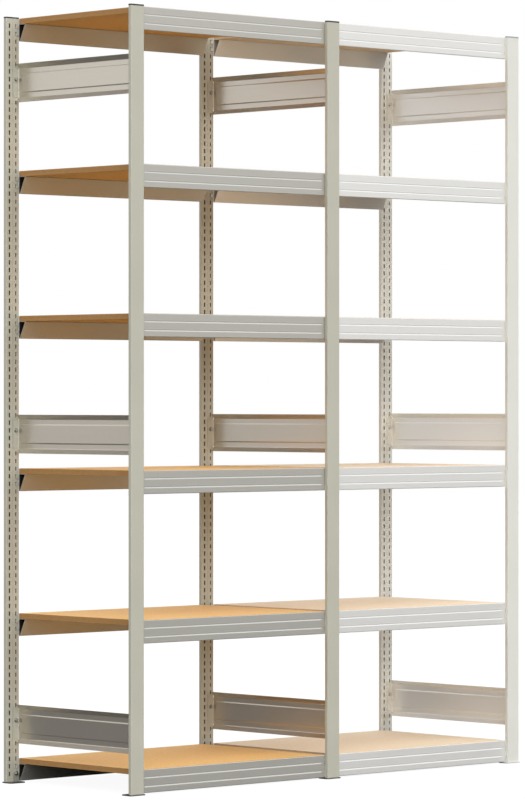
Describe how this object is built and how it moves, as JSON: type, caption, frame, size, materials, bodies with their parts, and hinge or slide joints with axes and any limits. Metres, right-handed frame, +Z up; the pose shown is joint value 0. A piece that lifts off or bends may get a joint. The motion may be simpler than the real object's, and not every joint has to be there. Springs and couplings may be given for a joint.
{
  "type": "wide span shelving unit",
  "caption": "Tall open shelving unit with slotted steel posts, hooked-in box beams and particle board shelves in two bays that share the middle posts, with side panels joining each frame.",
  "frame": {"origin": "centre of the footprint, on the floor", "axes": "X along the width, +Y from the front to the rear, +Z up; the left bay is at -X"},
  "size_m": [1.792, 0.639, 2.5083],
  "materials": {
    "post_coat": "satin",
    "post_coat_pale": "satin",
    "beam_coat": "satin",
    "beam_coat_pale": "satin",
    "particle_board": "matte",
    "particle_board_pale": "matte",
    "foot_steel": "satin",
    "foot_steel_pale": "satin",
    "cap_plastic": "matte",
    "cap_plastic_pale": "matte",
    "bolt_zinc": "zinc plated"
  },
  "bodies": {
    "root": {"post_front_left": "post_coat", "post_front_middle": "post_coat", "post_front_right": "post_coat_pale", "post_rear_left": "post_coat", "post_rear_middle": "post_coat", "post_rear_right": "post_coat_pale", "beam_front_left_1": "beam_coat", "beam_rear_left_1": "beam_coat", "deck_left_1": "particle_board", "beam_front_left_2": "beam_coat", "beam_rear_left_2": "beam_coat", "deck_left_2": "particle_board", "beam_front_left_3": "beam_coat", "beam_rear_left_3": "beam_coat", "deck_left_3": "particle_board", "beam_front_left_4": "beam_coat", "beam_rear_left_4": "beam_coat", "deck_left_4": "particle_board", "beam_front_left_5": "beam_coat", "beam_rear_left_5": "beam_coat", "deck_left_5": "particle_board", "beam_front_left_6": "beam_coat", "beam_rear_left_6": "beam_coat", "deck_left_6": "particle_board", "beam_front_right_1": "beam_coat_pale", "beam_rear_right_1": "beam_coat_pale", "deck_right_1": "particle_board_pale", "beam_front_right_2": "beam_coat_pale", "beam_rear_right_2": "beam_coat_pale", "deck_right_2": "particle_board_pale", "beam_front_right_3": "beam_coat_pale", "beam_rear_right_3": "beam_coat_pale", "deck_right_3": "particle_board_pale", "beam_front_right_4": "beam_coat_pale", "beam_rear_right_4": "beam_coat_pale", "deck_right_4": "particle_board_pale", "beam_front_right_5": "beam_coat_pale", "beam_rear_right_5": "beam_coat_pale", "deck_right_5": "particle_board_pale", "beam_front_right_6": "beam_coat_pale", "beam_rear_right_6": "beam_coat_pale", "deck_right_6": "particle_board_pale", "side_panel_left_lower": "beam_coat", "side_panel_left_middle": "beam_coat", "side_panel_left_upper": "beam_coat", "side_panel_middle_lower": "beam_coat", "side_panel_middle_middle": "beam_coat", "side_panel_middle_upper": "beam_coat", "side_panel_right_lower": "beam_coat_pale", "side_panel_right_middle": "beam_coat_pale", "side_panel_right_upper": "beam_coat_pale", "foot_front_left": "foot_steel", "foot_front_middle": "foot_steel", "foot_front_right": "foot_steel_pale", "foot_rear_left": "foot_steel", "foot_rear_middle": "foot_steel", "foot_rear_right": "foot_steel_pale"}
  },
  "joints": []
}
